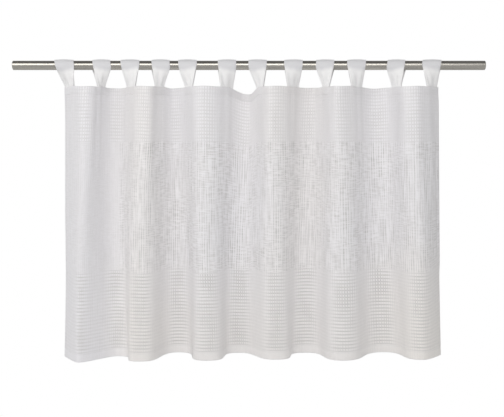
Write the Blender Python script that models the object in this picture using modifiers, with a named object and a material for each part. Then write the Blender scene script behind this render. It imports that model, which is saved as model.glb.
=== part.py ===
"""A short tab top curtain hanging on its steel rod, in metres with +Z up.

The origin is on the rod's axis, half way along it. +X runs along the rod and -Y faces the room.
Twelve loops of cloth, the tabs, carry one sheet, the panel, which hangs in six forward folds.
"""

import math
from collections import namedtuple

import bmesh
import bpy
import numpy as np
from mathutils import Vector

MM = 0.001
GAP = 0.3 * MM

ROD_DIAMETER = 20 * MM
ROD_LENGTH = 1020 * MM
ROD_SIDES = 48
ROD_CHAMFER = 1 * MM

# The panel is cut 1.2 m wide, hems included, and drops 0.6 m from its heading to its hem.
PANEL_THICKNESS = 1.8 * MM
PANEL_WIDTH = 1200 * MM
HEADING_Z = -45.5 * MM
HEM_Z = -645.5 * MM
PANEL_ROWS = 10
ROWS_CLOSER_AT_TOP = 1.5

# The cloth is shared out in even columns: one tab is sewn to 4 of them, and the next starts 12 further on.
COLUMNS_UNDER_TAB = 4
COLUMNS_TAB_TO_TAB = 12

TAB_THICKNESS = 2.0 * MM
TAB_TAIL_ROWS = 1
TAB_ABOVE_HEADING = 1 * MM
TAB_LEG_BELLY = 3.2 * MM
TAB_LEG_STEPS = 3
TAB_WRAP_STEPS = 8

# Where each tab sits along the rod, left to right, in millimetres.
Tab = namedtuple("Tab", "name across")
TABS = (
    Tab("tab_01", -397),
    Tab("tab_02", -317),
    Tab("tab_03", -257),
    Tab("tab_04", -190),
    Tab("tab_05", -134),
    Tab("tab_06", -47),
    Tab("tab_07", 17),
    Tab("tab_08", 95),
    Tab("tab_09", 164),
    Tab("tab_10", 231),
    Tab("tab_11", 315),
    Tab("tab_12", 393),
)

# The folds, left to right: a row for each edge, forward crest and backward trough of the cloth.
# At the heading, half way down and at the hem it gives the turn's place across, its depth, and
# how steeply the cloth leaves it for the next turn: 0 straight, 1 square to the rod. Millimetres.
# The last column is how far the heading's edge sags there.
Fold = namedtuple("Fold", "name x_top y_top wall_top x_mid y_mid wall_mid x_hem y_hem wall_hem sag")
FOLDS = (
    Fold("left edge", -405, 22, 0.45, -409, 27, 0.40, -415, 10, 0.20, 0),
    Fold("crest 1", -345, -27, 0.43, -364, -34, 0.45, -374, -56, 0.25, 0),
    Fold("trough 1", -297, 25, 0.45, -300, 20, 0.60, -298, 9, 0.98, 3),
    Fold("crest 2", -217, -26, 0.25, -232, -32, 0.50, -236, -46, 0.62, 0),
    Fold("trough 2", -168, 26, 0.48, -161, 34, 0.60, -163, 50, 0.90, 3),
    Fold("crest 3", -96, -29, 0.42, -98, -30, 0.60, -92, -37, 0.85, 0),
    Fold("trough 3", -2, 30, 0.30, -11, 32, 0.45, -21, 45, 0.50, 16),
    Fold("crest 4", 47, -28, 0.49, 50, -27, 0.60, 55, -28, 0.90, 0),
    Fold("trough 4", 143, 27, 0.30, 133, 32, 0.50, 130, 46, 0.68, 2),
    Fold("crest 5", 187, -28, 0.37, 198, -30, 0.55, 206, -37, 0.60, 0),
    Fold("trough 5", 280, 28, 0.78, 294, 36, 0.65, 309, 52, 0.70, 3),
    Fold("crest 6", 356, -27, 0.25, 368, -29, 0.40, 384, -30, 0.35, 0),
    Fold("right edge", 413, 13, 0.00, 423, 30, 0.00, 433, 24, 0.00, 0),
)

# Name, base colour, roughness, metallic
CLOTH_FINISH = ("white_weave", (0.84, 0.84, 0.83, 1.0), 0.90, 0.0)
TAB_FINISH = ("white_plain_weave", (0.82, 0.82, 0.84, 1.0), 0.90, 0.0)
STEEL_FINISH = ("brushed_steel", (0.56, 0.55, 0.52, 1.0), 0.30, 1.0)

TAB_COLUMNS = [COLUMNS_TAB_TO_TAB * i for i in range(len(TABS))]
PANEL_COLUMNS = TAB_COLUMNS[-1] + COLUMNS_UNDER_TAB

# The first and last turn of the folds are half way between two tabs, and the others a tab's step apart.
FIRST_TURN_COLUMN = (COLUMNS_TAB_TO_TAB + COLUMNS_UNDER_TAB) // 2
TURN_COLUMNS = [0, *(FIRST_TURN_COLUMN + column for column in TAB_COLUMNS[:-1]), PANEL_COLUMNS]
CURVE_POINTS = 33

# The folds' depths are multiplied by a number within these limits, found by halving them this often.
SHALLOWEST = 0.5
DEEPEST = 1.6
HALVINGS = 24

SHARP_FROM = math.radians(40)
CHAMFERED_FROM = math.radians(60)


def clear_scene():
    """Leave nothing of the startup scene."""
    for obj in list(bpy.data.objects):
        bpy.data.objects.remove(obj, do_unlink=True)


def make_collection(name):
    collection = bpy.data.collections.new(name)
    bpy.context.scene.collection.children.link(collection)
    return collection


def make_material(name, colour, roughness, metallic):
    material = bpy.data.materials.new(name)
    material.use_nodes = True
    shader = material.node_tree.nodes["Principled BSDF"]
    shader.inputs["Base Color"].default_value = colour
    shader.inputs["Roughness"].default_value = roughness
    shader.inputs["Metallic"].default_value = metallic
    return material


def add_object(name, bm, material, collection):
    """Turn a bmesh into a smooth shaded object."""
    mesh = bpy.data.meshes.new(name)
    bm.to_mesh(mesh)
    bm.free()
    mesh.shade_smooth()
    mesh.materials.append(material)
    obj = bpy.data.objects.new(name, mesh)
    collection.objects.link(obj)
    return obj


def three_way(top, middle, hem, drop):
    """A smooth value between heading (drop 0), half way and hem (drop 1)."""
    return (
        top * (1 - drop) * (1 - 2 * drop)
        + middle * 4 * drop * (1 - drop)
        + hem * drop * (2 * drop - 1)
    )


def turns_at(drop):
    """The folds' turns at one height, in metres: rows of across, depth and wall."""
    return [
        (
            MM * three_way(fold.x_top, fold.x_mid, fold.x_hem, drop),
            MM * three_way(fold.y_top, fold.y_mid, fold.y_hem, drop),
            three_way(fold.wall_top, fold.wall_mid, fold.wall_hem, drop),
        )
        for fold in FOLDS
    ]


def wall_curve(start, end, first, last):
    """The plan of the cloth from one turn to the next, as points at even steps of a cubic curve.

    At a turn the cloth runs along the rod, but it leaves an edge of the panel freely.
    """
    (x0, y0, wall), (x1, y1, _) = start, end
    reach = wall * (x1 - x0)
    controls = (
        (x0, y0),
        (x0 + (0 if first else reach), y0),
        (x1 - (0 if last else reach), y1),
        (x1, y1),
    )
    t = np.linspace(0, 1, CURVE_POINTS)[:, None]
    weights = np.hstack([(1 - t) ** 3, 3 * t * (1 - t) ** 2, 3 * t**2 * (1 - t), t**3])
    return weights @ np.array(controls)


def curve_length(points):
    return float(np.hypot(*np.diff(points, axis=0).T).sum())


def spread(points, count):
    """The same curve as count + 1 points at even steps of its length."""
    steps = np.hypot(*np.diff(points, axis=0).T)
    travelled = np.concatenate([[0], np.cumsum(steps)])
    wanted = np.linspace(0, travelled[-1], count + 1)
    return np.column_stack([np.interp(wanted, travelled, points[:, i]) for i in (0, 1)])


def walls_at(drop, deepen):
    """The plan curves between neighbouring turns, with every depth multiplied by deepen."""
    turns = [(x, y * deepen, wall) for x, y, wall in turns_at(drop)]
    last = len(turns) - 2
    return [wall_curve(turns[i], turns[i + 1], i == 0, i == last) for i in range(last + 1)]


def deepening_at(drop):
    """What makes the folds just deep enough to take up the panel's cut width."""
    shallow, deep = SHALLOWEST, DEEPEST
    for _ in range(HALVINGS):
        middle = (shallow + deep) / 2
        if sum(map(curve_length, walls_at(drop, middle))) < PANEL_WIDTH:
            shallow = middle
        else:
            deep = middle
    return (shallow + deep) / 2


def plan_at(drop):
    """The panel's plan at one height: a point for each column's edge."""
    walls = walls_at(drop, deepening_at(drop))
    runs = [spread(wall, share)[:-1] for wall, share in zip(walls, np.diff(TURN_COLUMNS))]
    return np.vstack(runs + [walls[-1][-1:]])


def sag_of_columns():
    """How far the heading's edge sags at each column, smoothly from turn to turn."""
    sags = []
    for column in range(PANEL_COLUMNS + 1):
        i = min(np.searchsorted(TURN_COLUMNS, column, side="right") - 1, len(TURN_COLUMNS) - 2)
        t = (column - TURN_COLUMNS[i]) / (TURN_COLUMNS[i + 1] - TURN_COLUMNS[i])
        ease = (1 - math.cos(math.pi * t)) / 2
        sags.append(MM * (FOLDS[i].sag * (1 - ease) + FOLDS[i + 1].sag * ease))
    return sags


def row_drop(row):
    """How far down the panel a row lies, as a share. Rows are closer near the heading."""
    return (row / PANEL_ROWS) ** ROWS_CLOSER_AT_TOP


def row_height(row, sag):
    """The height of a row of the panel at a column whose heading sags by this much."""
    top = HEADING_Z - sag
    return top + (HEM_Z - top) * row_drop(row)


def make_panel(plans, sags, material, collection):
    """The hung sheet: a grid whose points are moved on to the folds, and given its thickness."""
    bm = bmesh.new()
    bmesh.ops.create_grid(bm, x_segments=PANEL_COLUMNS, y_segments=PANEL_ROWS, size=1)
    for vert in bm.verts:
        column = round((vert.co.x + 1) / 2 * PANEL_COLUMNS)
        row = round((1 - vert.co.y) / 2 * PANEL_ROWS)
        vert.co = (*plans[row][column], row_height(row, sags[column]))
    panel = add_object("panel", bm, material, collection)
    solidify(panel, PANEL_THICKNESS)
    return panel


def solidify(obj, thickness):
    """Give an open sheet its thickness, half to each side."""
    modifier = obj.modifiers.new("thickness", "SOLIDIFY")
    modifier.thickness = thickness
    modifier.offset = 0
    modifier.use_even_offset = True


def behind(plan, column, distance):
    """The plan point at this distance behind the panel's middle surface."""
    before = plan[max(column - 1, 0)]
    after = plan[min(column + 1, len(plan) - 1)]
    along = Vector(after - before).normalized()
    return Vector(plan[column]) + Vector((-along.y, along.x)) * distance


def leaving_angle(end, side, radius):
    """Where a taut leg that ends at (y, z) below a circle leaves it: 0 is up, side -1 is the front."""
    y, z = end
    return math.atan2(y, z) - side * math.acos(radius / math.hypot(y, z))


def wrap_points(front_foot, back_foot, across):
    """The part of a tab's line that lies on the rod, between its two straight legs."""
    radius = ROD_DIAMETER / 2 + GAP + TAB_THICKNESS / 2
    full_turn = 2 * math.pi
    front = leaving_angle(front_foot.yz, -1, radius) % full_turn - full_turn
    back = leaving_angle(back_foot.yz, 1, radius) % full_turn
    corner_radius = radius / math.cos((back - front) / TAB_WRAP_STEPS / 2)
    return [
        Vector((across, corner_radius * math.sin(angle), corner_radius * math.cos(angle)))
        for angle in np.linspace(front, back, TAB_WRAP_STEPS + 1)
    ]


def slack_leg(foot, top, side):
    """The points from a foot up to, but not including, the rod, with the slack of the cloth as a belly."""
    shares = [step / TAB_LEG_STEPS for step in range(TAB_LEG_STEPS)]
    belly = Vector((0, side * TAB_LEG_BELLY, 0))
    return [foot.lerp(top, share) + belly * 4 * share * (1 - share) for share in shares]


def tab_line(plans, column, sag, across):
    """One lengthwise line of a tab: from its front end behind the heading, over the rod, to its back end."""
    front_layer = PANEL_THICKNESS / 2 + GAP + TAB_THICKNESS / 2
    back_layer = front_layer + TAB_THICKNESS + GAP
    foot_z = row_height(0, sag) + TAB_ABOVE_HEADING
    end_z = row_height(TAB_TAIL_ROWS, sag)
    feet = [behind(plans[0], column, layer).to_3d() for layer in (front_layer, back_layer)]
    ends = [behind(plans[TAB_TAIL_ROWS], column, layer).to_3d() for layer in (front_layer, back_layer)]
    for foot, end in zip(feet, ends):
        foot.z = foot_z
        end.z = end_z
    wrap = wrap_points(*feet, across)
    front_leg = slack_leg(feet[0], wrap[0], -1)
    back_leg = slack_leg(feet[1], wrap[-1], 1)
    return [ends[0], *front_leg, *wrap, *reversed(back_leg), ends[1]]


def make_tab(tab, first_column, plans, sags, material, collection):
    """One loop over the rod, its two ends sewn to the back of the heading."""
    width = PANEL_WIDTH / PANEL_COLUMNS * COLUMNS_UNDER_TAB
    lines = [
        tab_line(
            plans,
            first_column + step,
            sags[first_column + step],
            tab.across * MM + (step / COLUMNS_UNDER_TAB - 0.5) * width,
        )
        for step in range(COLUMNS_UNDER_TAB + 1)
    ]
    steps = len(lines[0]) - 1
    bm = bmesh.new()
    bmesh.ops.create_grid(bm, x_segments=COLUMNS_UNDER_TAB, y_segments=steps, size=1)
    for vert in bm.verts:
        step = round((vert.co.x + 1) / 2 * COLUMNS_UNDER_TAB)
        place = round((1 - vert.co.y) / 2 * steps)
        vert.co = lines[step][place]
    obj = add_object(tab.name, bm, material, collection)
    solidify(obj, TAB_THICKNESS)
    return obj


def make_rod(material, collection):
    """The round bar, with its two flat ends lightly chamfered."""
    bm = bmesh.new()
    bmesh.ops.create_cone(
        bm,
        cap_ends=True,
        segments=ROD_SIDES,
        radius1=ROD_DIAMETER / 2,
        radius2=ROD_DIAMETER / 2,
        depth=ROD_LENGTH,
    )
    rod = add_object("rod", bm, material, collection)
    rod.rotation_euler = (0, math.pi / 2, 0)
    rod.data.set_sharp_from_angle(angle=SHARP_FROM)
    chamfer = rod.modifiers.new("chamfer", "BEVEL")
    chamfer.width = ROD_CHAMFER
    chamfer.segments = 1
    chamfer.limit_method = "ANGLE"
    chamfer.angle_limit = CHAMFERED_FROM
    return rod


def main():
    clear_scene()
    collection = make_collection("tab_top_curtain")
    cloth = make_material(*CLOTH_FINISH)
    tab_cloth = make_material(*TAB_FINISH)
    steel = make_material(*STEEL_FINISH)
    make_rod(steel, collection)
    plans = [plan_at(row_drop(row)) for row in range(PANEL_ROWS + 1)]
    sags = sag_of_columns()
    make_panel(plans, sags, cloth, collection)
    for tab, first_column in zip(TABS, TAB_COLUMNS):
        make_tab(tab, first_column, plans, sags, tab_cloth, collection)


main()
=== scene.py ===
"""The looks of a short white tab top curtain on its steel rod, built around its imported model.

Metres, +Z up. The origin is on the rod's axis, +X runs along the rod and -Y faces the room.
The cloth's own measures run across (u) from its left edge and down (v) from its heading.
"""

import functools
import logging
import math
from collections.abc import Sequence
from dataclasses import dataclass, field
from enum import Enum
from typing import NamedTuple

import bmesh
import bpy
import numpy as np
from mathutils import Matrix, Vector

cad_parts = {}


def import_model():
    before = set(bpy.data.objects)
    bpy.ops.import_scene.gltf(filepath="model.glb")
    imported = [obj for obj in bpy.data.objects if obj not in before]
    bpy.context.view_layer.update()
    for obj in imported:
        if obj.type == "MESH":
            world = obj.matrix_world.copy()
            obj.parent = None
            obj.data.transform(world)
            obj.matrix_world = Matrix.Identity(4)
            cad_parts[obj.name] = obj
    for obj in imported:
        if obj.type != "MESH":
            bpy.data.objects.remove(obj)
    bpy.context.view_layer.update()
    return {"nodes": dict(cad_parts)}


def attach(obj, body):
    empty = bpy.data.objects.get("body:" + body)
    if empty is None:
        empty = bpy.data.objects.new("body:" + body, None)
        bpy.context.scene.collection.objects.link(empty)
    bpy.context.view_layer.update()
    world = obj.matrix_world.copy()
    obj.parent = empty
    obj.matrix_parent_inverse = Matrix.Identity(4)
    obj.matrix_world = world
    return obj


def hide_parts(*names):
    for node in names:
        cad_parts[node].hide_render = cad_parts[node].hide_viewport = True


log = logging.getLogger("tab_top_curtain")

MM = 0.001
CLOTH_UV = "cloth"
RIB_LIGHT_AND_RELIEF = "rib_light_and_relief"
TURN = 2 * math.pi
EVEN_RADIUS = (1, 1, 1)
Array = np.ndarray
Pair = tuple[float, float]
Triple = tuple[float, float, float]
Colour = tuple[float, float, float, float]
Piece = bpy.types.Object
Material = bpy.types.Material
Socket = bpy.types.NodeSocket
Value = Socket | float


class Slot(Enum):
    """The record's material slots of the pieces that replace a solid."""

    PANEL = "panel_cloth"
    TAB = "tab_cloth"


class Fold(NamedTuple):
    """One turn of the cloth, at the heading, half way down and at the hem, in millimetres.

    wall is how steeply the cloth leaves the turn: 0 straight to the next, 1 square to the rod.
    sag is how far the heading's edge dips there.
    """

    x_top: float
    y_top: float
    wall_top: float
    x_mid: float
    y_mid: float
    wall_mid: float
    x_hem: float
    y_hem: float
    wall_hem: float
    sag: float


# the left edge, then each forward crest and backward trough in turn, then the right edge
FOLDS = (
    Fold(-405, 22, 0.45, -409, 27, 0.40, -415, 10, 0.20, 0),
    Fold(-345, -27, 0.43, -364, -34, 0.45, -374, -56, 0.25, 0),
    Fold(-297, 25, 0.45, -300, 20, 0.60, -298, 9, 0.98, 3),
    Fold(-217, -26, 0.25, -232, -32, 0.50, -236, -46, 0.62, 0),
    Fold(-168, 26, 0.48, -161, 34, 0.60, -163, 50, 0.90, 3),
    Fold(-96, -29, 0.42, -98, -30, 0.60, -92, -37, 0.85, 0),
    Fold(-2, 30, 0.30, -11, 32, 0.45, -21, 45, 0.50, 16),
    Fold(47, -28, 0.49, 50, -27, 0.60, 55, -28, 0.90, 0),
    Fold(143, 27, 0.30, 133, 32, 0.50, 130, 46, 0.68, 2),
    Fold(187, -28, 0.37, 198, -30, 0.55, 206, -37, 0.60, 0),
    Fold(280, 28, 0.78, 294, 36, 0.65, 309, 52, 0.70, 3),
    Fold(356, -27, 0.25, 368, -29, 0.40, 384, -30, 0.35, 0),
    Fold(413, 13, 0.00, 423, 30, 0.00, 433, 24, 0.00, 0),
)


class Crease(NamedTuple):
    """A soft ridge, or a trough where the height is below 0, on a cloth, in millimetres.

    It runs from (u0, v0) to (u1, v1). width is how far to each side it fades.
    """

    u0: float
    v0: float
    u1: float
    v1: float
    width: float
    height: float


PANEL_CREASES = tuple(Crease(*row) for row in (
    # under the tabs, where the cloth is drawn up and hangs in soft ridges
    (38, 0, 52, 110, 9, -1.3), (104, 2, 112, 150, 11, -1.4), (92, -30, 94, 190, 10, 3.4),
    (116, -30, 118, 190, 8, 3.2), (206, 0, 200, 130, 9, -1.5), (219, 0, 217, 120, 5, 1.4),
    (248, 4, 262, 150, 9, 1.0), (298, -30, 300, 190, 10, 3.8), (320, 0, 330, 120, 10, -1.5),
    (354, 2, 350, 140, 5, 1.6), (424, 0, 418, 100, 8, -1.2), (462, 0, 476, 140, 10, 1.4),
    (526, -30, 529, 190, 12, 3.4), (550, -30, 552, 190, 9, 4.6), (636, 0, 626, 120, 9, -1.2),
    (672, 2, 690, 150, 11, 1.2), (740, -30, 742, 190, 11, 3.2), (762, -30, 760, 190, 8, 3.6),
    (850, 0, 846, 120, 9, -1.3), (880, 2, 900, 170, 10, 1.3), (955, -30, 957, 190, 11, 3.2),
    (976, -30, 976, 190, 8, 3.8), (1008, 4, 1016, 130, 9, -1.2), (1082, 0, 1068, 140, 10, -1.9),
    (1100, 0, 1112, 90, 8, 1.4), (1165, 0, 1168, 330, 10, 2.8),
    # long shallow ones in the lower cloth
    (60, 180, 84, 520, 22, -1.8), (128, 260, 136, 600, 14, 1.4), (176, 150, 168, 420, 16, -1.2),
    (236, 240, 250, 600, 15, 1.6), (302, 200, 292, 470, 17, -1.5), (376, 260, 368, 600, 14, 1.3),
    (410, 180, 420, 460, 15, -1.4), (488, 230, 480, 590, 16, 1.6), (556, 250, 570, 600, 18, -1.8),
    (604, 200, 596, 520, 13, 1.2), (700, 240, 712, 600, 16, -1.5), (768, 200, 760, 480, 14, 1.2),
    (812, 260, 826, 600, 15, -1.3), (888, 220, 880, 560, 15, 1.5), (966, 220, 980, 600, 18, -1.7),
    (1036, 200, 1028, 540, 16, 1.3), (1104, 260, 1116, 600, 15, -1.4),
    (1150, 200, 1142, 470, 14, 1.2),
    # the side hems, turned back where they hang free
    (1180, 120, 1182, 380, 10, 2.4), (1188, 170, 1190, 360, 4, -1.6), (1200, 40, 1200, 400, 8, 3.0),
    (0, 340, 0, 600, 13, -1.2), (0, 120, 0, 380, 12, 1.6),
))


class RibBand(NamedTuple):
    """A band of woven ribs: where it starts and ends down the cloth, and its number of ribs.

    height is how far the ribs stand out and tone how strongly they show in the weave's colour, as
    painted highlight on them and painted shade between them.
    """

    start: float
    end: float
    count: int
    height: float
    tone: float


class Tab(NamedTuple):
    """One loop: its number, its place along the rod, how far its feet slid and its creases.

    A crease's u runs across the loop and its v from the loop's front end up to the rod.
    """

    number: int
    across: float
    slid: float
    creases: tuple[Crease, ...]


TABS = tuple(Tab(*values, tuple(Crease(*row) for row in rows)) for *values, rows in (
    (1, -395, 0, ((7, 52, 14, 16, 5, -1.5), (24, 46, 19, 14, 4, 1.2), (31, 52, 25, 18, 3, -0.9))),
    (2, -315.5, 5, ((20, 50, 15, 16, 5, 1.4), (27, 40, 24, 14, 4, -1.1), (7, 50, 10, 22, 4, -0.8))),
    (3, -254.5, 0, ((10, 52, 16, 14, 5, 1.3), (25, 50, 24, 16, 5, -1.3), (4, 44, 8, 18, 3, -0.7))),
    (4, -189, 1, ((16, 52, 12, 18, 5, -1.2), (27, 52, 22, 16, 5, 1.2), (31, 36, 28, 14, 3, -0.8))),
    (5, -131.5, 0, ((10, 50, 17, 18, 5, 1.3), (24, 40, 28, 12, 4, -2.0), (30, 52, 27, 26, 3, 0.8))),
    (6, -47, 2, ((17, 52, 18, 20, 6, 1.2), (8, 50, 11, 18, 4, -1.0), (28, 48, 25, 20, 4, -1.0))),
    (7, 18.5, 0, ((9, 52, 22, 18, 5, -1.4), (22, 50, 27, 22, 4, 1.0), (5, 40, 12, 14, 4, 1.0))),
    (8, 95, 2, ((8, 44, 24, 30, 5, -1.2), (17, 52, 15, 18, 5, 1.2), (29, 50, 24, 18, 4, -0.9))),
    (9, 163, 0, ((15, 52, 19, 16, 5, 1.3), (26, 44, 22, 12, 4, -1.4), (6, 48, 11, 20, 4, -0.9))),
    (10, 230, 1, ((22, 52, 17, 18, 6, -1.2), (10, 50, 10, 20, 4, 1.1), (30, 52, 27, 20, 4, 0.9))),
    (11, 315, 0, ((20, 40, 21, 12, 3, -2.6), (12, 50, 16, 14, 4, 1.4), (28, 50, 25, 14, 4, 1.5))),
    (12, 391, -3, ((12, 52, 18, 16, 5, 1.2), (28, 46, 26, 14, 4, -1.6), (6, 50, 9, 22, 4, -0.9))),
))


def bell(distance: Array, reach: float) -> Array:
    """A smooth hump: 1 at no distance, fading over this reach to both sides."""
    return np.exp(-((distance / reach) ** 2))


def blend_down(top: Array, middle: Array, hem: Array, drop: Array) -> Array:
    """Blend three values down the cloth.

    Args:
        top: The value at the heading.
        middle: The value half way down.
        hem: The value at the hem.
        drop: How far down, from 0 at the heading to 1 at the hem.

    Returns:
        The smooth value at each drop.
    """
    rest = 1 - drop
    return top * rest * (1 - 2 * drop) + middle * 4 * drop * rest + hem * drop * (2 * drop - 1)


CREASE_FADE_ALONG = 0.35
CREASE_END = 0.18


def crease_heights(creases: Sequence[Crease], across: Array, down: Array) -> Array:
    """Add up the creases of a cloth.

    Args:
        creases: The creases, in millimetres.
        across: Each point's place across the cloth, in metres.
        down: Each point's place down the cloth, in metres.

    Returns:
        How far each point stands out from the plain cloth, in metres.
    """
    total = np.zeros(np.broadcast(across, down).shape)
    for crease in creases:
        start = np.array((crease.u0, crease.v0)) * MM
        line = np.array((crease.u1, crease.v1)) * MM - start
        share = ((across - start[0]) * line[0] + (down - start[1]) * line[1]) / (line @ line)
        on_line = np.clip(share, 0, 1)
        off_u = across - start[0] - on_line * line[0]
        off_v = (down - start[1] - on_line * line[1]) * CREASE_FADE_ALONG
        fade = bell(np.hypot(off_u, off_v), crease.width * MM)
        rise = np.clip(CREASE_END + (1 - 2 * CREASE_END) * share, 0, 1)
        total += crease.height * MM * fade * np.sin(np.pi * rise)
    return total


@dataclass
class HungCloth:
    """The surface of the hung panel: where each point of the flat cloth lies in the folds."""

    width: float = 1200 * MM
    heading_z: float = -45.5 * MM
    hem_z: float = -645.5 * MM
    columns_to_first_turn: int = 8
    columns_between_turns: int = 12
    curve_points: int = 33
    ribs: tuple[RibBand, ...] = (
        RibBand(0.0, 118 * MM, 16, 0.36 * MM, 0.75),
        RibBand(405 * MM, 580 * MM, 23, 0.65 * MM, 1.75),
    )
    rib_fade: float = 4 * MM
    # how far the ribs stand out, and how strongly their painted highlight and shade show in the
    # finish, by how squarely the cloth faces the room
    rib_light_and_lift_low: float = 0.08
    rib_light_and_lift_facing: Pair = (0.62, 0.99)
    rib_light_and_lift_power: float = 1.6
    rib_ease: Pair = (0.45, 90 * MM)
    stitch_groove: float = 0.35 * MM
    stitch_reach: float = 1.2 * MM
    side_stitch_reach: float = 1.5 * MM
    side_stitch_share: float = 0.8
    heading_stitch_v: float = 16.5 * MM
    hem_stitch_v: float = 583.5 * MM
    side_stitch_u: float = 8 * MM
    dip_u: float = 600 * MM
    dip_reach: float = 34 * MM
    dip_fade: float = 3 * MM
    dip_groove: Pair = (0.3, 4.5)
    edge_wobble: float = 0.7 * MM
    side_lifts: Pair = (10 * MM, 12 * MM)
    lift_reach: float = 55 * MM
    lift_power: float = 1.3
    lift_rows: tuple[Pair, ...] = ((300, 0), (400, 1), (500, 0.6), (600, 0))
    side_columns: tuple[float, ...] = (0, 3, 6, 8, 10, 13)
    hem_rows: tuple[float, ...] = (582, 583.5, 585, 589, 594, 598, 600)
    steps_a_rib: int = 4
    plain_rows: int = 20
    middle_columns: int = 254
    least_and_most_depth: Pair = (0.5, 1.6)
    depth_halvings: int = 24
    across: Array = field(init=False)
    down: Array = field(init=False)
    points: Array = field(init=False)
    normals: Array = field(init=False)
    rib_light_and_relief: Array = field(init=False)

    def __post_init__(self) -> None:
        """Work out the whole surface on the panel's own rows and columns."""
        self.across = self._columns()
        self.down = self._rows()
        self.points = self._folded(self.down / self.length)
        self.normals = self._normals(self.points)
        # the ribs' relief, and the painted highlight and shade on them in the finish, grow where
        # the cloth faces the room
        side_on, face_on = self.rib_light_and_lift_facing
        facing = np.clip((np.abs(self.normals[..., 1]) - side_on) / (face_on - side_on), 0, 1)
        self.rib_light_and_relief = self.rib_light_and_lift_low + (1 - self.rib_light_and_lift_low) * facing**self.rib_light_and_lift_power
        relief = self._relief(self.across[None, :], self.down[:, None])
        self.points = self.points + self.normals * relief[..., None]
        self.normals = self._normals(self.points)

    @property
    def length(self) -> float:
        """The cloth's length from heading to hem."""
        return self.heading_z - self.hem_z

    @property
    def columns_in_all(self) -> int:
        """The number of the solid's even columns across the cloth."""
        return 2 * self.columns_to_first_turn + (len(FOLDS) - 3) * self.columns_between_turns

    def _columns(self) -> Array:
        """Place the columns across the cloth, closer at the side hems.

        Returns:
            Their places from the left edge.
        """
        hem = np.array(self.side_columns) * MM
        inner = np.linspace(hem[-1], self.width - hem[-1], self.middle_columns + 1)
        return np.concatenate([hem[:-1], inner, (self.width - hem[:-1])[::-1]])

    def _rows(self) -> Array:
        """Place the rows down the cloth: even ones in each band of ribs, wide ones between.

        Returns:
            Their places from the heading.
        """
        top, low = self.ribs
        return np.concatenate([
            np.linspace(top.start, top.end, top.count * self.steps_a_rib + 1),
            np.linspace(top.end, low.start, self.plain_rows + 1)[1:-1],
            np.linspace(low.start, low.end, low.count * self.steps_a_rib + 1),
            np.array(self.hem_rows) * MM,
        ])

    def _walls(self, drop: Array, deepen: Array) -> Array:
        """The plan of the cloth between its turns.

        Args:
            drop: How far down each row lies, as a share.
            deepen: What each row's depths are multiplied by.

        Returns:
            Points of the cubic curves, by row, wall, step and axis.
        """
        table = np.array([fold[:9] for fold in FOLDS], dtype=float)
        top, middle, hem = (table[:, i : i + 3][None] for i in (0, 3, 6))
        turns = blend_down(top, middle, hem, drop[:, None, None])
        x, y = turns[..., 0] * MM, turns[..., 1] * MM * deepen[:, None]
        reach = turns[:, :-1, 2] * np.diff(x, axis=1)
        first, last = reach.copy(), reach.copy()
        first[:, 0] = 0
        last[:, -1] = 0
        x0, x1, y0, y1 = x[:, :-1], x[:, 1:], y[:, :-1], y[:, 1:]
        controls = np.stack([[x0, x0 + first, x1 - last, x1], [y0, y0, y1, y1]], -1)
        t = np.linspace(0, 1, self.curve_points)
        weights = np.array([(1 - t) ** 3, 3 * t * (1 - t) ** 2, 3 * t**2 * (1 - t), t**3])
        return np.einsum("ks,krwa->rwsa", weights, controls)

    def _depths(self, drop: Array) -> Array:
        """Find the depth at which the folds of each row take up the cloth's cut width.

        Args:
            drop: How far down each row lies, as a share.

        Returns:
            What each row's depths are multiplied by.
        """
        shallow, deep = (np.full(len(drop), depth) for depth in self.least_and_most_depth)
        for _ in range(self.depth_halvings):
            middle = (shallow + deep) / 2
            steps = np.diff(self._walls(drop, middle), axis=2)
            too_short = np.hypot(steps[..., 0], steps[..., 1]).sum(axis=(1, 2)) < self.width
            shallow = np.where(too_short, middle, shallow)
            deep = np.where(too_short, deep, middle)
        return (shallow + deep) / 2

    def _turn_places(self) -> Array:
        """Where the turns lie across the flat cloth, from the left edge."""
        inner = self.columns_to_first_turn + np.arange(len(FOLDS) - 2) * self.columns_between_turns
        return np.array([0, *inner, self.columns_in_all]) / self.columns_in_all * self.width

    def _folded(self, drop: Array) -> Array:
        """Lay the plain cloth in its folds.

        Args:
            drop: How far down each row lies, as a share.

        Returns:
            The points by row, column and axis.
        """
        turn_u = self._turn_places()
        points = np.zeros((len(drop), len(self.across), 3))
        for row, walls in enumerate(self._walls(drop, self._depths(drop))):
            plan, places = [walls[0, :1]], [np.zeros(1)]
            for wall, line in enumerate(walls):
                travelled = np.cumsum(np.hypot(*np.diff(line, axis=0).T))
                span = turn_u[wall + 1] - turn_u[wall]
                places.append(turn_u[wall] + travelled / travelled[-1] * span)
                plan.append(line[1:])
            known, curve = np.concatenate(places), np.vstack(plan)
            for axis in (0, 1):
                points[row, :, axis] = np.interp(self.across, known, curve[:, axis])
        top = self.heading_z - self._sags(turn_u)
        points[..., 2] = top[None, :] + (self.hem_z - top[None, :]) * drop[:, None]
        places, shares = np.array(self.lift_rows).T
        low = np.interp(self.down, places * MM, shares)
        for edge, lift in zip((0, self.width), self.side_lifts):
            near = np.clip(1 - np.abs(self.across - edge) / self.lift_reach, 0, 1)
            points[..., 2] += lift * low[:, None] * near[None, :] ** self.lift_power
        return points

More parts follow.
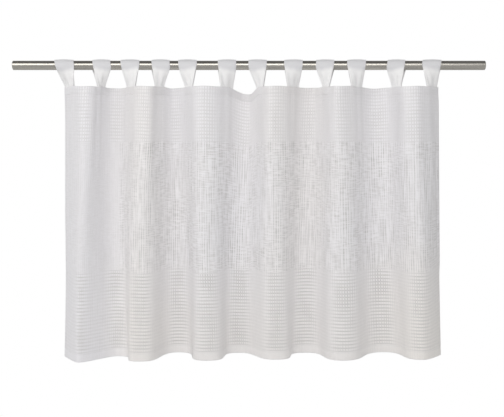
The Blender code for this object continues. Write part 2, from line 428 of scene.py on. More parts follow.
    def _sags(self, turn_u: Array) -> Array:
        """How far the heading's edge dips at each column, eased from turn to turn.

        Args:
            turn_u: The turns' places across the cloth.

        Returns:
            The dip at each column, in metres.
        """
        i = np.clip(np.searchsorted(turn_u, self.across, side="right") - 1, 0, len(turn_u) - 2)
        share = (self.across - turn_u[i]) / (turn_u[i + 1] - turn_u[i])
        sag = np.array([fold.sag for fold in FOLDS]) * MM
        to_trough = np.where(sag[i + 1] > sag[i], share, 1 - share)
        ease = (1 - np.cos(np.pi * np.clip((to_trough - 0.5) / 0.5, 0, 1))) / 2
        wobble = self.edge_wobble * np.sin(self.across * 97 + 1) * np.sin(self.across * 41)
        return np.abs(sag[i + 1] - sag[i]) * ease + wobble

    def _relief(self, across: Array, down: Array) -> Array:
        """Creases, woven ribs and the pull of the stitched lines.

        Args:
            across: The columns' places.
            down: The rows' places.

        Returns:
            How far each point stands out towards the room, in metres.
        """
        broad = 0.22 * np.sin(across * 61 + down * 9)
        uneven = 1 + broad + 0.16 * np.sin(across * 143 - down * 17 + 1.3)
        in_dip = self._in_dip(across, down)
        least, reach = self.rib_ease
        soft = np.clip(least + down / reach, 0, 1) * (1 - in_dip) * uneven * self.rib_light_and_relief
        ribs = np.zeros(np.broadcast(across, down).shape)
        for band in self.ribs:
            inside = np.minimum(down - band.start, band.end - down)
            wave = np.cos(TURN * (down - band.start) / (band.end - band.start) * band.count)
            ribs = ribs - np.clip(inside / self.rib_fade, 0, 1) * soft * wave * band.height
        flat, dipped = self.dip_groove
        stitched = (self.heading_stitch_v, self.hem_stitch_v)
        heading, hem = (bell(down - v, self.stitch_reach) for v in stitched)
        groove = heading * (flat + dipped * in_dip) + hem
        for edge in (self.side_stitch_u, self.width - self.side_stitch_u):
            groove = groove + self.side_stitch_share * bell(across - edge, self.side_stitch_reach)
        pucker = 1 + 0.5 * np.sin(across * 410) * np.sin(down * 390 + 0.7)
        creases = crease_heights(PANEL_CREASES, across, down)
        return creases + ribs - groove * pucker * self.stitch_groove

    def _in_dip(self, across: Array, down: Array) -> Array:
        """How far each place is in the heading's deepest dip, whose doubled strip is plain."""
        near = bell(across - self.dip_u, self.dip_reach)
        return near * np.clip((self.heading_stitch_v + self.dip_fade - down) / self.dip_fade, 0, 1)

    @staticmethod
    def _normals(points: Array) -> Array:
        """Unit normals of a grid of points, towards the room."""
        normals = np.cross(np.gradient(points, axis=0), np.gradient(points, axis=1))
        return normals / np.linalg.norm(normals, axis=-1, keepdims=True)

    def at(self, across: float, down: float, behind: float = 0) -> tuple[Vector, Vector]:
        """Find a point of the hung cloth.

        Args:
            across: The place across the flat cloth.
            down: The place down the flat cloth; above the heading it is less than 0.
            behind: The distance behind the middle of the cloth.

        Returns:
            The point and the cloth's normal there.
        """
        column = float(np.interp(across, self.across, np.arange(len(self.across))))
        row = float(np.interp(down, self.down, np.arange(len(self.down))))
        c, r = min(int(column), len(self.across) - 2), min(int(row), len(self.down) - 2)
        weights = np.outer((r + 1 - row, row - r), (c + 1 - column, column - c))[..., None]
        point, normal = (
            Vector((grid[r : r + 2, c : c + 2] * weights).sum(axis=(0, 1)))
            for grid in (self.points, self.normals)
        )
        normal.normalize()
        return point + Vector((0, 0, max(-down, 0))) - normal * behind, normal


class Grain(NamedTuple):
    """A noise of a finish and what is made of it.

    scale is its grains in a metre on each axis and offset moves it to another place. What it
    gives from low to high is eased from to_low to to_high.
    """

    scale: Triple
    offset: float
    low: float
    high: float
    to_low: float = 0.0
    to_high: float = 1.0


class Nodes:
    """A node tree, with short calls for what the finishes and the surroundings share."""

    def __init__(self, tree: bpy.types.NodeTree) -> None:
        """Work on this tree."""
        self.tree = tree

    def node(
        self, kind: str, links: dict[str | int, Value | Colour] | None = None, **settings: object,
    ) -> bpy.types.Node:
        """Add a node.

        Args:
            kind: The node's type.
            links: What goes to its inputs: sockets or values.
            settings: The node's own settings.

        Returns:
            The new node.
        """
        made = self.tree.nodes.new(kind)
        for key, value in settings.items():
            setattr(made, key, value)
        for key, value in (links or {}).items():
            self.put(made.inputs[key], value)
        return made

    def put(self, socket: Socket, value: Value | Colour) -> None:
        """Link a socket to an input, or set the input to a value.

        Args:
            socket: The input.
            value: The socket or the value.
        """
        if isinstance(value, bpy.types.NodeSocket):
            self.tree.links.new(value, socket)
        else:
            socket.default_value = value

    def ramp(
        self, value: Socket, low: float, high: float, to_low: float = 0.0, to_high: float = 1.0,
    ) -> Socket:
        """A value eased from to_low at low to to_high at high."""
        names = ("Value", "From Min", "From Max", "To Min", "To Max")
        links = dict(zip(names, (value, low, high, to_low, to_high)))
        return self.node("ShaderNodeMapRange", links, interpolation_type="SMOOTHSTEP").outputs[0]


class Graph(Nodes):
    """A material's node graph, with the nodes that its finish uses."""

    def __init__(self, name: str) -> None:
        """Make a material with one Principled shader."""
        self.material = bpy.data.materials.new(name)
        self.material.use_nodes = True
        super().__init__(self.material.node_tree)
        self.shader = self.tree.nodes["Principled BSDF"]

    def object_place(self) -> Socket:
        """The place on the object, in metres."""
        return self.node("ShaderNodeTexCoord").outputs["Object"]

    def maths(
        self, operation: str, first: Value, second: Value = 0.0, clamp: bool = False,
    ) -> Socket:
        """The result of one Math node."""
        links = {0: first, 1: second}
        return self.node("ShaderNodeMath", links, operation=operation, use_clamp=clamp).outputs[0]

    def times(self, first: Value, *others: Value) -> Socket:
        """The product of some values."""
        return functools.reduce(functools.partial(self.maths, "MULTIPLY"), others, first)

    def plus(self, first: Value, *others: Value) -> Socket:
        """The sum of some values."""
        return functools.reduce(functools.partial(self.maths, "ADD"), others, first)

    def wave(self, place: Socket, length: float) -> Socket:
        """A sine wave of this length along a place."""
        return self.maths("SINE", self.times(place, TURN / length))

    def noise(self, place: Socket, scale: Triple, detail: float, offset: float = 0.0) -> Socket:
        """Make a noise.

        Args:
            place: Where it is read.
            scale: Its grains in a metre on each axis.
            detail: How many finer layers it has.
            offset: How far it is moved, to give another pattern.

        Returns:
            Its value, around one half.
        """
        mapping = self.node("ShaderNodeMapping", {"Vector": place})
        mapping.inputs["Scale"].default_value = scale
        mapping.inputs["Location"].default_value = (offset, offset * 1.7, offset * 0.6)
        links = {"Vector": mapping.outputs[0], "Scale": 1.0, "Detail": detail}
        return self.node("ShaderNodeTexNoise", links, noise_dimensions="3D").outputs["Fac"]

    def mix(self, share: Socket, first: Socket | Colour, second: Socket | Colour) -> Socket:
        """A colour between two, by a share from 0 to 1."""
        links = {0: share, 6: first, 7: second}
        return self.node("ShaderNodeMix", links, data_type="RGBA").outputs[2]

    def finish(self, colour: Socket, roughness: Socket, **values: float | Triple) -> Material:
        """Give the shader its colour, its roughness and its own uniform numbers.

        Args:
            colour: The base colour.
            roughness: The roughness.
            values: The numbers, with underscores for spaces in their names.

        Returns:
            The material.
        """
        self.put(self.shader.inputs["Base Color"], colour)
        self.put(self.shader.inputs["Roughness"], roughness)
        for name, value in values.items():
            self.shader.inputs[name.replace("_", " ")].default_value = value
        return self.material

    def bump(self, height: Socket, distance: float, strength: float) -> None:
        """Give the shader a bump of this full height in metres."""
        links = {"Height": height, "Distance": distance, "Strength": strength}
        self.put(self.shader.inputs["Normal"], self.node("ShaderNodeBump", links).outputs[0])


class ClothGraph(Graph):
    """The graph of a sheet's finish: it knows the place on the flat cloth, across and down."""

    def __init__(self, name: str) -> None:
        """Make the material and read the piece's own map."""
        super().__init__(name)
        self.place = self.node("ShaderNodeUVMap", uv_map=CLOTH_UV).outputs[0]
        axes = self.node("ShaderNodeSeparateXYZ", {0: self.place}).outputs
        self.u, self.v = axes[0], axes[1]

    def weave(self, pitch: float) -> Socket:
        """The rise and fall of fine threads both ways."""
        return self.times(self.wave(self.u, pitch), self.wave(self.v, pitch))

    def grain(self, grain: Grain) -> Socket:
        """The eased value of a grain."""
        value = self.noise(self.place, grain.scale, 1.0, grain.offset)
        return self.ramp(value, *grain[2:])


@dataclass(frozen=True)
class WovenPanelFinish:
    """White lustrous weave: ribbed bands above and below, slubbed threads between. The ribs carry
    painted highlight and painted shade in its colour.
    """

    name: str = "white_ribbed_weave"
    thread: Colour = (0.905, 0.897, 0.925, 1.0)
    warm_thread: Colour = (0.915, 0.885, 0.855, 1.0)
    between_threads: Colour = (0.60, 0.59, 0.585, 1.0)
    roughness: Pair = (0.72, 0.36)
    sheen: float = 0.15
    plain_border: float = 190 * MM
    warp_pitch: float = 5.1 * MM
    weave_pitch: float = 1.1 * MM
    warp_drift: float = 6 * MM
    warp_shows: Grain = Grain((55, 6, 1), 1.4, 0.3, 0.65)
    dots_show: Grain = Grain((24, 14, 1), 8.2, 0.3, 0.7, 0.35)
    fine_upright: Grain = Grain((430, 20, 1), 0.0, 0.34, 0.66, -0.5, 0.5)
    wide_upright: Grain = Grain((190, 8, 1), 6.0, 0.36, 0.64, -0.5, 0.5)
    broken_across: Grain = Grain((48, 400, 1), 5.0, 0.34, 0.66, -0.5, 0.5)
    broken_patches: Grain = Grain((13, 9, 1), 9.0, 0.3, 0.65, 0.35)
    warm_patches: Grain = Grain((3.1, 2.2, 1), 7.0, 0.35, 0.65, 0.0, 0.4)
    slub_parts: Triple = (0.85, 0.22, 0.6)
    slubs_elsewhere: Pair = (0.1, 0.14)
    # painted highlight on the ribs and painted shade between them
    rib_painted_light: float = 0.32
    dot_tone: float = 0.55
    slub_tone: float = 0.55
    fleck_tone: float = 0.3
    dip_tone: float = -0.12
    heading_tones: Pair = (0.80, 0.74)
    heading_reach: float = 60 * MM
    heading_ribs: float = 0.55
    dots_between_ribs: float = 0.55
    # painted light along the hem
    hem_painted_light: float = 0.16

    def material(self, cloth: HungCloth) -> Material:
        """Build the finish.

        Args:
            cloth: The hung cloth, for the places of its bands.

        Returns:
            The material.
        """
        g = ClothGraph(self.name)
        drift = g.times(g.noise(g.place, (9, 4, 1), 1.0, 3.1), self.warp_drift)
        columns = g.wave(g.plus(g.u, drift), self.warp_pitch)
        ribs, dots = self._ribs(g, columns, cloth)
        slubs = g.times(self._slubs(g, columns), self._slub_mask(g, cloth))
        tone = self._tone(g, ribs, dots, slubs, cloth)
        thread = g.mix(self._warmth(g), self.thread, self.warm_thread)
        weave = g.times(g.weave(self.weave_pitch), 0.12)
        g.bump(g.plus(g.times(slubs, 0.9), g.times(dots, 0.5), weave, 0.5), 0.35 * MM, 0.7)
        return g.finish(
            g.mix(tone, self.between_threads, thread), g.ramp(tone, 0.4, 1.0, *self.roughness),
            Sheen_Weight=self.sheen, Specular_IOR_Level=0.8, Subsurface_Weight=0.5,
            Subsurface_Scale=1.2 * MM, Subsurface_Radius=EVEN_RADIUS,
        )

    def _ribs(self, g: ClothGraph, columns: Socket, cloth: HungCloth) -> tuple[Socket, Socket]:
        """The ribs of both bands, and the dots where a thicker column crosses them, as painted
        highlight on the ribs and painted shade between them, stronger where the cloth faces the
        room.

        Args:
            g: The graph.
            columns: The wave of the columns across the cloth.
            cloth: The hung cloth.

        Returns:
            The ribs' wave, below 0 between ribs and above 0 on them, and the dots' tone.
        """
        waves, masks = [], []
        for band in cloth.ribs:
            opens = g.ramp(g.v, band.start - 1 * MM, band.start + 1 * MM)
            closes = g.ramp(g.v, band.end - 1 * MM, band.end + 1 * MM, 1, 0)
            inside = g.times(opens, closes, band.tone)
            turns = g.times(g.plus(g.v, -band.start), TURN * band.count / (band.end - band.start))
            waves.append(g.times(g.maths("COSINE", turns), inside, -1.0))
            masks.append(inside)
        # how squarely the cloth faces the room: the ribs' painted highlight and shade, and the
        # dots, fade where it turns away
        stand = g.node("ShaderNodeAttribute", attribute_name=RIB_LIGHT_AND_RELIEF).outputs["Fac"]
        ease = g.ramp(g.v, 0, self.heading_reach, self.heading_ribs)
        ribs = g.times(g.plus(*waves), stand, ease)
        on_ribs = g.plus(ribs, g.times(g.plus(*masks), self.dots_between_ribs))
        return ribs, g.times(columns, g.grain(self.dots_show), on_ribs, stand)

    def _slubs(self, g: ClothGraph, columns: Socket) -> Socket:
        """The uneven threads: fine and wide upright ones, the columns and broken ones across.

        Args:
            g: The graph.
            columns: The wave of the columns across the cloth.

        Returns:
            Their tone, around 0.
        """
        fine, wide, thick = self.slub_parts
        return g.plus(
            g.times(g.grain(self.fine_upright), fine),
            g.times(g.grain(self.wide_upright), wide),
            g.times(columns, g.grain(self.warp_shows), thick),
            g.times(g.grain(self.broken_across), g.grain(self.broken_patches)),
        )

    def _slub_mask(self, g: ClothGraph, cloth: HungCloth) -> Socket:
        """Where the slubs show: between the bands, faintly on the plain border and the ribs.

        Args:
            g: The graph.
            cloth: The hung cloth.

        Returns:
            Their share at each place.
        """
        top, low, border = cloth.ribs[0].end, cloth.ribs[1].start, self.plain_border
        on_border, elsewhere = self.slubs_elsewhere
        opens = g.ramp(g.v, top - 2 * MM, top + 4 * MM)
        closes = g.ramp(g.v, low - 4 * MM, low + 2 * MM, 1, 0)
        beside = g.ramp(g.u, border - 6 * MM, border + 8 * MM, on_border)
        return g.plus(g.times(opens, closes, beside, 1 - elsewhere), elsewhere)

    def _tone(
        self, g: ClothGraph, ribs: Socket, dots: Socket, slubs: Socket, cloth: HungCloth,
    ) -> Socket:
        """Add up the weave's light and dark.

        Args:
            g: The graph.
            ribs: The ribs' wave.
            dots: The dots' tone.
            slubs: The slubs' tone.
            cloth: The hung cloth.

        Returns:
            The tone, from 0 between the threads to 1 on them.
        """
        heading, hem = cloth.heading_stitch_v, cloth.hem_stitch_v
        near_dip = g.ramp(g.maths("ABSOLUTE", g.plus(g.u, -cloth.dip_u)), 30 * MM, 55 * MM, 1, 0)
        in_dip = g.times(g.ramp(g.v, heading, heading + 2 * MM, 1, 0), near_dip)
        # the ribs' painted highlight and painted shade, and the dots
        ribbed = g.plus(g.times(ribs, self.rib_painted_light), g.times(dots, self.dot_tone))
        ribbed = g.times(ribbed, g.maths("SUBTRACT", 1.0, in_dip))
        flecks = g.times(g.plus(g.noise(g.place, (420, 420, 1), 1.0, 2.0), -0.5), self.fleck_tone)
        plain, slubbed = g.times(in_dip, self.dip_tone), g.times(slubs, self.slub_tone)
        at_heading = g.ramp(g.v, 0, self.heading_reach, *self.heading_tones)
        # painted light along the hem, lighter than the cloth above it
        at_hem = g.ramp(g.v, hem - 6 * MM, hem + 4 * MM, 0, self.hem_painted_light)
        base = g.plus(at_heading, at_hem, flecks, plain)
        return g.maths("ADD", g.plus(ribbed, slubbed), base, clamp=True)

    def _warmth(self, g: ClothGraph) -> Socket:
        """How warm the thread is: in soft patches and lower down, not on the plain border."""
        warmth = g.plus(g.grain(self.warm_patches), g.ramp(g.v, 0.3, 0.6, 0.05, 0.6))
        return g.maths("MULTIPLY", warmth, g.ramp(g.u, 0.12, 0.26), clamp=True)


@dataclass(frozen=True)
class PlainClothFinish:
    """Smooth white cotton of the tabs, a little cooler than the panel, with painted shade where
    they wrap the rod.
    """

    name: str = "white_plain_cloth"
    thread: Colour = (0.96, 0.955, 0.96, 1.0)
    between_threads: Colour = (0.90, 0.90, 0.905, 1.0)
    # painted shade, greyer and cooler, where the loops wrap the rod, and how far it reaches from
    # the middle
    painted_shade_over_rod: Colour = (0.75, 0.75, 0.77, 1.0)
    painted_shade_reach: Pair = (24 * MM, 36 * MM)
    weave_pitch: float = 0.9 * MM

    def material(self, middle: float) -> Material:
        """Build the finish.

        Args:
            middle: The place along the loops where they cross over the rod.

        Returns:
            The material.
        """
        g = ClothGraph(self.name)
        weave = g.weave(self.weave_pitch)
        cloud = g.noise(g.place, (60, 45, 1), 3.0)
        tone = g.maths("ADD", g.times(weave, 0.1), g.ramp(cloud, 0.3, 0.7, 0.55), clamp=True)
        away = g.plus(g.maths("ABSOLUTE", g.plus(g.v, -middle)), g.times(cloud, 6 * MM))
        thread = g.mix(tone, self.between_threads, self.thread)
        g.bump(g.plus(g.times(weave, 0.2), cloud), 0.3 * MM, 0.6)
        return g.finish(
            # painted shade over the rod, fading towards the legs
            g.mix(g.ramp(away, *self.painted_shade_reach, 1, 0), thread, self.painted_shade_over_rod),
            g.ramp(cloud, 0.3, 0.7, 0.82, 0.7),
            Sheen_Weight=0.2, Specular_IOR_Level=0.3, Subsurface_Weight=0.3,
            Subsurface_Scale=1 * MM, Subsurface_Radius=EVEN_RADIUS,
        )


@dataclass(frozen=True)
class BrushedSteelFinish:
    """Steel brushed along the rod, with faint rubbed streaks."""

    name: str = "brushed_steel"
    light: Colour = (0.565, 0.545, 0.50, 1.0)
    dark: Colour = (0.49, 0.47, 0.43, 1.0)
    roughness: Pair = (0.20, 0.28)

    def material(self) -> Material:
        """Build the finish and return its material."""
        g = Graph(self.name)
        place = g.object_place()
        streaks = g.noise(place, (9, 2600, 2600), 3.0)
        smears = g.noise(place, (14, 60, 60), 2.0, 4.0)
        tone = g.plus(g.times(streaks, 0.6), g.times(smears, 0.4))
        g.bump(streaks, 0.004 * MM, 0.2)
        return g.finish(
            g.mix(g.ramp(tone, 0.35, 0.65), self.dark, self.light),
            g.ramp(tone, 0.3, 0.7, *self.roughness), Metallic=1.0, Specular_IOR_Level=0.5,
        )


@dataclass(frozen=True)
class GrainyFinish:
    """Two tones and two roughnesses, mixed by one noise of the object's own place."""

    name: str
    light: Colour
    dark: Colour
    scale: float
    detail: float
    edges: Pair
    roughness: Pair
    relief: float = 0.0

    def material(self) -> Material:
        """Build the finish and return its material."""
        g = Graph(self.name)
        grain = g.noise(g.object_place(), (self.scale,) * 3, self.detail)
        if self.relief:
            g.bump(grain, self.relief, 0.5)
        colour = g.mix(g.ramp(grain, *self.edges), self.dark, self.light)
        return g.finish(colour, g.ramp(grain, 0.3, 0.7, *self.roughness))


SEWING_THREAD = GrainyFinish(
    "white_sewing_thread", (0.83, 0.83, 0.83, 1), (0.62, 0.62, 0.63, 1), 1800, 1, (0.35, 0.65),
    (0.6, 0.45), 0.05 * MM,
)
PALE_FLOOR = GrainyFinish(
    "pale_floor", (0.86, 0.86, 0.86, 1), (0.80, 0.80, 0.80, 1), 1.5, 3, (0.3, 0.7), (0.9, 0.8),
)


def finished(name: str, bm: bmesh.types.BMesh, material: Material) -> Piece:
    """Turn a bmesh into a smooth shaded object at the origin.

    Args:
        name: The piece's name.
        bm: The shape, which is freed.
        material: Its finish.

    Returns:
        The new object.
    """
    mesh = bpy.data.meshes.new(name)
    bm.to_mesh(mesh)
    bm.free()
    mesh.shade_smooth()
    mesh.materials.append(material)
    obj = bpy.data.objects.new(name, mesh)
    bpy.context.scene.collection.objects.link(obj)
    return obj


def cloth_sheet(
    name: str, points: Array, across: Array, down: Array, material: Material, thickness: float,
    thick: Array | None = None, rib_light_and_relief: Array | None = None,
) -> Piece:
    """Make a closed sheet of cloth from a grid whose points are moved on to its shape.

    Args:
        name: The piece's name.
        points: The middle surface, by row, column and axis.
        across: The columns' places on the flat cloth.
        down: The rows' places on the flat cloth.
        material: Its finish.
        thickness: The thickness where the cloth is thickest.
        thick: The share of that thickness at each point, or None for all of it.
        rib_light_and_relief: How far the woven ribs stand up at each point, kept for the finish,
            where it sets how strongly their painted highlight and shade show.

    Returns:
        The piece.
    """
    rows, columns = points.shape[0] - 1, points.shape[1] - 1
    bm = bmesh.new()
    layer = bm.loops.layers.uv.new(CLOTH_UV)
    stand = bm.verts.layers.float.new(RIB_LIGHT_AND_RELIEF) if rib_light_and_relief is not None else None
    bmesh.ops.create_grid(bm, x_segments=columns, y_segments=rows, size=1)
    bm.verts.index_update()
    spots = []
    for vert in bm.verts:
        spot = round((1 - vert.co.y) / 2 * rows), round((vert.co.x + 1) / 2 * columns)
        spots.append(spot)
        vert.co = points[spot]
        if stand:
            vert[stand] = float(rib_light_and_relief[spot])
    for face in bm.faces:
        for loop in face.loops:
            row, column = spots[loop.vert.index]
            loop[layer].uv = across[column], down[row]
    obj = finished(name, bm, material)
    solidify = obj.modifiers.new("thickness", "SOLIDIFY")
    solidify.thickness = thickness
    solidify.offset = 0
    solidify.use_even_offset = True
    if thick is not None:
        group = obj.vertex_groups.new(name="thick")
        for share in np.unique(thick):
            group.add([i for i, spot in enumerate(spots) if thick[spot] == share], share, "REPLACE")
        solidify.vertex_group = group.name
    return obj


@dataclass
class Panel:
    """The woven panel, with its doubled heading, side hems and bottom hem, and their stitches."""

    cloth: HungCloth
    finish: WovenPanelFinish = WovenPanelFinish()
    thread: GrainyFinish = SEWING_THREAD
    hem_thickness: float = 1.6 * MM
    single_share: float = 0.56
    stitch_step: float = 3.6 * MM
    stitch_size: Triple = (1.25 * MM, 0.32 * MM, 0.28 * MM)
    side_stitch_top: float = 20 * MM
    side_stitch_gap: float = 3 * MM

    def build(self) -> Piece:
        """Build the panel and its stitches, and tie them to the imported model.

        Returns:
            The panel.
        """
        c = self.cloth
        finish = self.finish.material(c)
        panel = cloth_sheet(
            "woven_panel", c.points, c.across, c.down, finish, self.hem_thickness,
            self._thick(), c.rib_light_and_relief,
        )
        stitches = self._stitches()
        for piece in (panel, stitches):
            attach(piece, "root")
        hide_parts("panel")
        [TabLoop.piece_name(tab) for tab in TABS]
        return panel

    def _thick(self) -> Array:
        """Work out where the cloth is doubled.

        Returns:
            The share of the hem's thickness at each point, all of it in the hems and heading.
        """
        c = self.cloth
        rows = (c.down <= c.heading_stitch_v) | (c.down >= c.hem_stitch_v)
        columns = (c.across <= c.side_stitch_u) | (c.across >= c.width - c.side_stitch_u)
        return np.where(rows[:, None] | columns[None, :], 1.0, self.single_share)

    def _stitches(self) -> Piece:
        """Sew the heading, the hem and both sides with small rounded threads.

        Returns:
            All the stitches as one piece.
        """
        c = self.cloth
        side_top, side_end = self.side_stitch_top, c.hem_stitch_v - self.side_stitch_gap
        left, right = self.stitch_step, c.width - self.stitch_step
        lines = [
            ((left, c.heading_stitch_v), (right, c.heading_stitch_v)),
            ((left, c.hem_stitch_v), (right, c.hem_stitch_v)),
            ((c.side_stitch_u, side_top), (c.side_stitch_u, side_end)),
            ((c.width - c.side_stitch_u, side_top), (c.width - c.side_stitch_u, side_end)),
        ]
        bm = bmesh.new()
        for start, end in lines:
            count = round(math.dist(start, end) / self.stitch_step)
            for share in (np.arange(count) + 0.5) / count:
                place, ahead = (
                    [a + (b - a) * part for a, b in zip(start, end)]
                    for part in (share, share + 0.2 / count)
                )
                point, normal = c.at(*place, behind=-self.hem_thickness / 2)
                along = (c.at(*ahead, behind=-self.hem_thickness / 2)[0] - point).normalized()
                side = normal.cross(along).normalized()
                turn = Matrix((along, side, along.cross(side))).transposed().to_4x4()
                size = Matrix.Diagonal((*self.stitch_size, 1))
                matrix = Matrix.Translation(point) @ turn @ size
                bmesh.ops.create_icosphere(bm, subdivisions=1, radius=1, matrix=matrix)
        return finished("panel_stitches", bm, self.thread.material())


@dataclass
class TabLoop:
    """One loop of plain cloth over the rod, with both ends sewn behind the heading."""

    cloth: HungCloth
    tab: Tab
    material: Material
    columns_under: int = 4
    columns_on: int = 12
    width: float = 39.5 * MM
    thickness: float = 1.6 * MM
    rod_radius: float = 10 * MM
    air: float = 0.15 * MM
    heading_half: float = 0.8 * MM
    tail: float = 19 * MM
    above_heading: float = 1 * MM
    belly: float = 3.2 * MM
    puff: float = 1.5 * MM
    puff_power: float = 0.6
    crease_depth: float = 1.35
    back_creases: float = 0.6
    crease_fade: float = 9 * MM
    easings: int = 10
    back_lean: float = 0.022
    steps_across: int = 20
    steps_tail: int = 6
    steps_leg: int = 16
    steps_wrap: int = 30
    flat_length: float = 172 * MM

    @staticmethod
    def piece_name(tab: Tab) -> str:
        """The piece's name."""
        return f"loop_{tab.number:02d}"

    def build(self) -> Piece:
        """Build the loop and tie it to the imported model.

        Returns:
            The loop.
        """
        lines = np.array([self._line(share) for share in np.linspace(0, 1, self.steps_across + 1)])
        points = self._settled(lines.transpose(1, 0, 2))
        steps = np.linalg.norm(np.diff(points, axis=0), axis=2).mean(axis=1)
        down = np.concatenate([[0], np.cumsum(steps)])
        across = np.linspace(0, self.width, self.steps_across + 1)
        points = self._creased(points, across, down)
        name = self.piece_name(self.tab)
        loop = cloth_sheet(name, points[::-1], across, down[::-1], self.material, self.thickness)
        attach(loop, "root")
        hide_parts(f"tab_{self.tab.number:02d}")
        log.info("%s: %.0f mm of cloth along the loop", name, down[-1] / MM)
        return loop

    def _line(self, share: float) -> Array:
        """One lengthwise line, from the front end behind the heading over the rod to the back end.

        Args:
            share: The line's place across the loop, from 0 to 1.

        Returns:
            The line's points.
        """
        first_column = (self.tab.number - 1) * self.columns_on
        column = first_column + share * self.columns_under
        u = column / self.cloth.columns_in_all * self.cloth.width + self.tab.slid * MM
        front = self.heading_half + self.air + self.thickness / 2
        back = front + self.air + self.thickness
        downs = np.linspace(self.tail, -self.above_heading, self.steps_tail + 1)
        tails = [[self.cloth.at(u, v, layer)[0] for v in downs] for layer in (front, back)]
        radius = self._clear_radius + self.puff * math.sin(math.pi * share) ** self.puff_power
        x = self.tab.across * MM + (share - 0.5) * self.width
        lean = self.back_lean * self.tab.across * MM
        first = self._leaving(tails[0][-1], -1, radius) % TURN - TURN
        last = self._leaving(tails[1][-1], 1, radius) % TURN
        wrap = [
            Vector((x + lean * part, radius * math.sin(angle), radius * math.cos(angle)))
            for part, angle in np.linspace((0, first), (1, last), self.steps_wrap + 1)
        ]
        front_leg = self._leg(tails[0][-1], wrap[0], -1)
        back_leg = self._leg(tails[1][-1], wrap[-1], 1)
        return np.array([*tails[0], *front_leg, *wrap, *reversed(back_leg), *reversed(tails[1])])

    @staticmethod
    def _leaving(foot: Vector, side: int, radius: float) -> float:
        """The angle at which a taut leg from a foot meets the rod: 0 is up, -1 the front side."""
        return math.atan2(foot.y, foot.z) - side * math.acos(radius / math.hypot(foot.y, foot.z))

    def _leg(self, foot: Vector, top: Vector, side: int) -> list[Vector]:
        """The points between a foot and the rod, with the slack of the cloth.

        Args:
            foot: Where the leg leaves the heading.
            top: Where it meets the rod.
            side: -1 for the front leg, 1 for the back one.

        Returns:
            The points, without both ends.
        """
        points = []
        for share in np.linspace(0, 1, self.steps_leg + 1)[1:-1]:
            belly = Vector((0, side * self.belly * 4 * share * (1 - share), 0))
            points.append(foot.lerp(top, share) + belly)
        return points

    @property
    def _clear_radius(self) -> float:
        """The least distance of the cloth's middle from the rod's axis."""
        return self.rod_radius + self.air + self.thickness / 2

    def _keep_clear(self, points: Array) -> None:
        """Push points that are too near the rod out to its surface, in place."""
        reach = np.hypot(points[..., 1], points[..., 2])
        points[..., 1:] *= np.maximum(self._clear_radius / reach, 1)[..., None]

    def _settled(self, points: Array) -> Array:
        """Ease the bends along the loop and keep it clear of the rod.

        Args:
            points: The taut loop, by step, column and axis.

        Returns:
            The eased loop.
        """
        first = self.steps_tail - 1
        for _ in range(self.easings):
            eased = points.copy()
            eased[1:-1] = (points[:-2] + 2 * points[1:-1] + points[2:]) / 4
            eased[:first] = points[:first]
            eased[-first:] = points[-first:]
            self._keep_clear(eased)
            points = eased
        return points

    def _creased(self, points: Array, across: Array, down: Array) -> Array:
        """Lay the tab's creases in, deepest on the front leg and fading on the rod.

        Args:
            points: The plain loop, by step, column and axis.
            across: The columns' places.
            down: The steps' places along the loop.

        Returns:
            The creased loop.
        """
        normals = np.cross(np.gradient(points, axis=1), np.gradient(points, axis=0))
        normals /= np.linalg.norm(normals, axis=-1, keepdims=True)
        total = down[-1]
        relief = crease_heights(self.tab.creases, across[None, :], down[:, None])
        mirrored = crease_heights(self.tab.creases, across[None, ::-1], total - down[:, None])
        relief = self.crease_depth * (relief + self.back_creases * mirrored)
        free = np.clip((np.minimum(down, total - down) - self.tail) / self.crease_fade, 0, 1)
        moved = points + normals * (relief * free[:, None])[..., None]
        self._keep_clear(moved)
        return moved


@dataclass
class Rod:
    """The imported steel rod, dressed in its finish."""

    finish: BrushedSteelFinish = BrushedSteelFinish()

    def dress(self, node: Piece) -> Piece:
        """Put the finish on the rod.

        Args:
            node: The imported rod.

        Returns:
            The rod.
        """
        node.data.materials.clear()
        node.data.materials.append(self.finish.material())
        return node


class AreaLight(NamedTuple):
    """A soft light: its place, its size, its watts, its colour and if gloss mirrors it."""

    name: str
    place: Triple
    size: Pair
    power: float
    colour: Triple
    mirrored: bool = False
    target: Triple = (0.0, 0.0, -0.35)


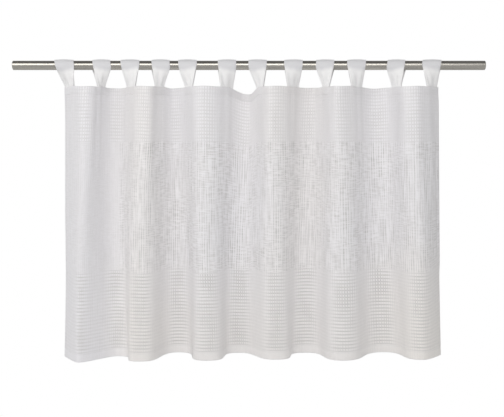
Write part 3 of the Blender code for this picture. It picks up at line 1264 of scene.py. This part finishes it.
@dataclass
class Studio:
    """The pale floor, the soft lights, the white surroundings and the camera."""

    eye: Triple = (0.0065, -1.85, -0.117)
    target: Triple = (0.0065, 0.0, -0.3110)
    lens: float = 60.4
    floor_z: float = -1.3
    floor_size: Triple = (1.8, 1.8, 0.02)
    floor_edge: float = 0.004
    surroundings: float = 0.53
    dark_above: float = 0.13
    dark_towards: Triple = (0.0, -0.03, 0.9995)
    dark_edge: Pair = (0.7, 0.92)
    lights: tuple[AreaLight, ...] = (
        AreaLight(
            "strip", (-0.9, -2.2, 0.95), (4.4, 0.9), 34.5, (1, 0.985, 0.965), True, (0, 0, -0.1),
        ),
        AreaLight("front", (0.0, -2.9, 0.0), (2.0, 2.0), 8.5, (1, 0.99, 0.98)),
        AreaLight("behind", (-1.9, 1.7, 0.1), (1.6, 1.6), 16.0, (0.96, 0.975, 1)),
    )
    floor_finish: GrainyFinish = PALE_FLOOR

    def build(self) -> None:
        """Build the whole studio."""
        self._floor()
        self._surroundings()
        for light in self.lights:
            self._light(light)
        self._camera()

    def _floor(self) -> None:
        """A slab with softened edges, well under the hem."""
        bm = bmesh.new()
        bmesh.ops.create_cube(bm, size=1)
        bmesh.ops.scale(bm, vec=self.floor_size, verts=bm.verts)
        bmesh.ops.bevel(
            bm, geom=bm.edges, offset=self.floor_edge, segments=2, profile=0.5, material=-1,
            affect="EDGES",
        )
        bmesh.ops.translate(bm, vec=(0, 0, self.floor_z), verts=bm.verts)
        finished("floor", bm, self.floor_finish.material())

    def _surroundings(self) -> None:
        """White to look at, and a softer grey as light."""
        world = bpy.data.worlds.new("white_surroundings")
        world.use_nodes = True
        bpy.context.scene.world = world
        sky = Nodes(world.node_tree)
        way = sky.node("ShaderNodeTexCoord").outputs["Generated"]
        links = {0: way, 1: self.dark_towards}
        above = sky.node("ShaderNodeVectorMath", links, operation="DOT_PRODUCT").outputs["Value"]
        strength = sky.ramp(above, *self.dark_edge, self.surroundings, self.dark_above)
        light, seen = (
            sky.node("ShaderNodeBackground", {"Color": (1, 1, 1, 1), "Strength": amount}).outputs[0]
            for amount in (strength, 1.0)
        )
        camera = sky.node("ShaderNodeLightPath").outputs["Is Camera Ray"]
        mixed = sky.node("ShaderNodeMixShader", {0: camera, 1: light, 2: seen}).outputs[0]
        sky.put(sky.tree.nodes["World Output"].inputs["Surface"], mixed)
        bpy.context.scene.view_settings.view_transform = "Standard"

    @staticmethod
    def _aim(obj: Piece, place: Sequence[float], target: Sequence[float]) -> None:
        """Stand an object at a place, looking at a target, and add it to the scene.

        Args:
            obj: The lamp or camera.
            place: Where it stands.
            target: What it looks at.
        """
        obj.location = place
        obj.rotation_euler = (Vector(target) - Vector(place)).to_track_quat("-Z", "Y").to_euler()
        bpy.context.scene.collection.objects.link(obj)

    def _light(self, light: AreaLight) -> None:
        """Add one area light.

        Args:
            light: What it is.
        """
        data = bpy.data.lights.new(light.name, "AREA")
        data.shape = "RECTANGLE"
        data.size, data.size_y = light.size
        data.energy = light.power
        data.color = light.colour
        lamp = bpy.data.objects.new(light.name, data)
        lamp.visible_camera = False
        lamp.visible_glossy = light.mirrored
        self._aim(lamp, light.place, light.target)

    def _camera(self) -> None:
        """The camera, at the photograph's angle."""
        data = bpy.data.cameras.new("camera")
        data.lens = self.lens
        camera = bpy.data.objects.new("camera", data)
        self._aim(camera, self.eye, self.target)
        bpy.context.scene.camera = camera


def main() -> None:
    """Build the curtain's looks in order."""
    logging.basicConfig(level=logging.INFO, format="%(name)s: %(message)s")
    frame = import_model()
    Rod().dress(frame["nodes"]["rod"])
    log.info("rod dressed")
    cloth = HungCloth()
    panel = Panel(cloth).build()
    log.info("panel built: %d points", len(panel.data.vertices))
    plain_cloth = PlainClothFinish().material(TabLoop.flat_length / 2)
    for tab in TABS:
        TabLoop(cloth, tab, plain_cloth).build()
    log.info("%d loops built", len(TABS))
    Studio().build()


if __name__ == "__main__":
    main()
